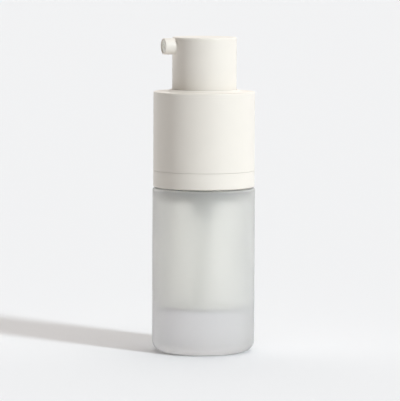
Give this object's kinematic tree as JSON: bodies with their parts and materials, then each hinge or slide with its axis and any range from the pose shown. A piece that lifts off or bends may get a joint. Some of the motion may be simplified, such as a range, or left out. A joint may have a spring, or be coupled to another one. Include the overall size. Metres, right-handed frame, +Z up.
{
  "type": "foundation bottle",
  "caption": "Cylindrical frosted glass cosmetic bottle with a heavy base, a tall white twist-lock collar and a press pump head with a short side spout.",
  "frame": {"origin": "centre of the foot, on the surface that the bottle stands on", "axes": "+Z up along the bottle's axis; the spout points along -X in the open position"},
  "size_m": [0.036, 0.036, 0.1105],
  "materials": {
    "frosted_glass": "acid-etched outside, clear inside",
    "white_plastic": "moulded, satin gloss, warm white",
    "spout_plastic": "moulded, matt, pale grey",
    "natural_plastic": "moulded, unpigmented, translucent",
    "seal_elastomer": "moulded, matt",
    "stainless_steel": "ground balls, drawn wire"
  },
  "bodies": {
    "bottle": {"glass_bottle": "frosted_glass"},
    "pump": {"pump_housing": "natural_plastic", "neck_gasket": "seal_elastomer", "dip_tube": "natural_plastic", "ball_cage": "natural_plastic", "return_spring": "stainless_steel", "stem_guide": "natural_plastic"},
    "cap": {"screw_cap": "white_plastic", "base_ring": "white_plastic"},
    "sleeve": {"outer_sleeve": "white_plastic", "guide_ring": "white_plastic", "stop_ring": "natural_plastic"},
    "head": {"head_shell": "white_plastic", "head_core": "white_plastic", "spout_insert": "spout_plastic"},
    "stem": {"stem": "natural_plastic", "stem_tip": "natural_plastic", "tip_seal": "seal_elastomer"},
    "piston": {"piston_seal": "seal_elastomer"},
    "inlet_ball": {"inlet_ball": "stainless_steel"},
    "outlet_ball": {"outlet_ball": "stainless_steel"}
  },
  "joints": [
    {"name": "pump_lift", "type": "slide", "parent": "bottle", "child": "pump", "axis": [0, 0, 1], "range_m": [0, 0.0048]},
    {"name": "cap_unscrew", "type": "hinge", "parent": "pump", "child": "cap", "pos_m": [0, 0, 0.0716], "axis": [0, 0, 1], "range_deg": [0, 540]},
    {"name": "sleeve_twist", "type": "hinge", "parent": "cap", "child": "sleeve", "pos_m": [0, 0, 0.0678], "axis": [0, 0, 1], "range_deg": [0, 90]},
    {"name": "head_press", "type": "slide", "parent": "sleeve", "child": "head", "axis": [0, 0, -1], "range_m": [0, 0.007], "stiffness_N_per_m": 1800, "springref_m": -0.0045},
    {"name": "stem_press", "type": "slide", "parent": "pump", "child": "stem", "axis": [0, 0, -1], "range_m": [0, 0.007], "deforming": ["return_spring"]},
    {"name": "piston_slip", "type": "slide", "parent": "stem", "child": "piston", "axis": [0, 0, 1], "range_m": [0, 0.0008]},
    {"name": "inlet_ball_lift", "type": "slide", "parent": "pump", "child": "inlet_ball", "axis": [0, 0, 1], "range_m": [0, 0.0008]},
    {"name": "outlet_ball_lift", "type": "slide", "parent": "stem", "child": "outlet_ball", "axis": [0, 0, 1], "range_m": [0, 0.0008]}
  ],
  "couplings": [
    {"joint": "cap_unscrew", "follows": "pump_lift", "rad_per_m": 1963.4},
    {"joint": "stem_press", "follows": "head_press", "ratio": 1}
  ]
}
